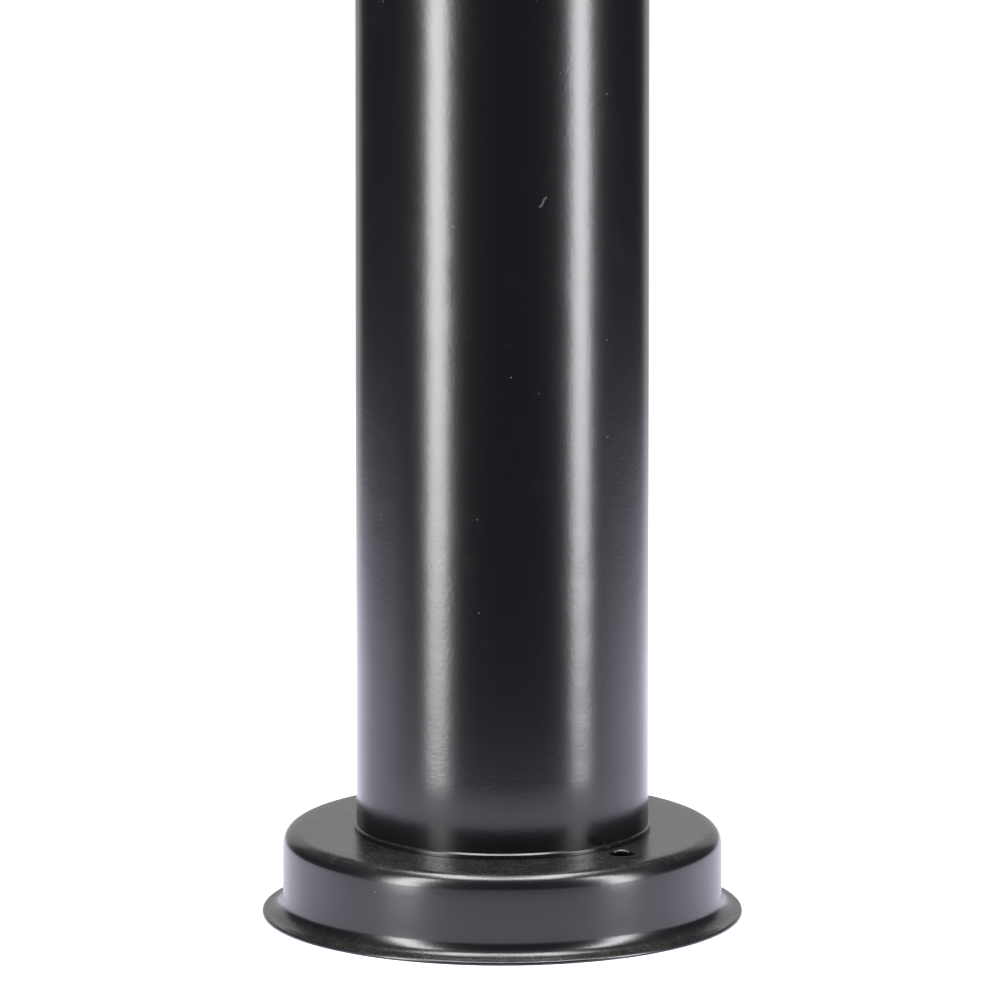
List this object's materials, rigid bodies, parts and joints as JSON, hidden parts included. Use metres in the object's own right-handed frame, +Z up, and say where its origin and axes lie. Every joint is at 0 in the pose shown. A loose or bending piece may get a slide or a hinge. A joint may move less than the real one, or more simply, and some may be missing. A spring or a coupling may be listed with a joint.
{
  "type": "tiki torch",
  "caption": "Black steel column oil torch on a flared base pan, with a spun head bowl, lift-out fuel canister, screw-off wick burner and hinged snuffer.",
  "frame": {"origin": "on the ground, on the column's axis, at the middle of the base pan's lip", "axes": "+Z up along the column; the front is -Y, and the snuffer's hinge is at the back, +Y"},
  "size_m": [0.1542, 0.1542, 0.6],
  "materials": {
    "black_coat": "satin black powder coat, fine orange peel",
    "plain_steel": "zinc plated, dull",
    "black_screws": "black oxide",
    "stainless": "spun and satin brushed",
    "brass": "turned, lightly aged",
    "gasket_rubber": "matt",
    "wick_fibre": "braided glass fibre"
  },
  "bodies": {
    "column": {"base_pan": "black_coat", "foot_weld_bead": "black_coat", "column_tube": "black_coat", "seat_ring": "plain_steel", "head_bowl": "black_coat", "bowl_screws": "black_screws"},
    "canister": {"canister_body": "stainless", "canister_lid": "stainless", "canister_neck": "brass"},
    "gasket": {"neck_gasket": "gasket_rubber"},
    "burner": {"burner_cap": "brass", "wick_tube": "stainless", "wick_tube_clip": "stainless", "snuffer_bracket": "stainless", "hinge_pin": "stainless"},
    "wick": {"wick": "wick_fibre"},
    "snuffer": {"snuffer_arm": "stainless", "snuffer_cap": "stainless", "snuffer_knob": "brass", "knob_screw": "stainless"}
  },
  "joints": [
    {"name": "canister_lift", "type": "slide", "parent": "column", "child": "canister", "axis": [0, 0, 1], "range_m": [0, 0.2]},
    {"name": "cap_lift", "type": "slide", "parent": "canister", "child": "gasket", "axis": [0, 0, 1], "range_m": [0, 0.16]},
    {"name": "cap_turn", "type": "hinge", "parent": "gasket", "child": "burner", "pos_m": [0, 0, 0.55], "axis": [0, 0, 1], "range_deg": [0, 540]},
    {"name": "wick_raise", "type": "slide", "parent": "burner", "child": "wick", "axis": [0, 0, 1], "range_m": [0, 0.008]},
    {"name": "snuffer_flip", "type": "hinge", "parent": "burner", "child": "snuffer", "pos_m": [0, 0.0195, 0.5604], "axis": [-1, 0, 0], "range_deg": [0, 105]}
  ]
}
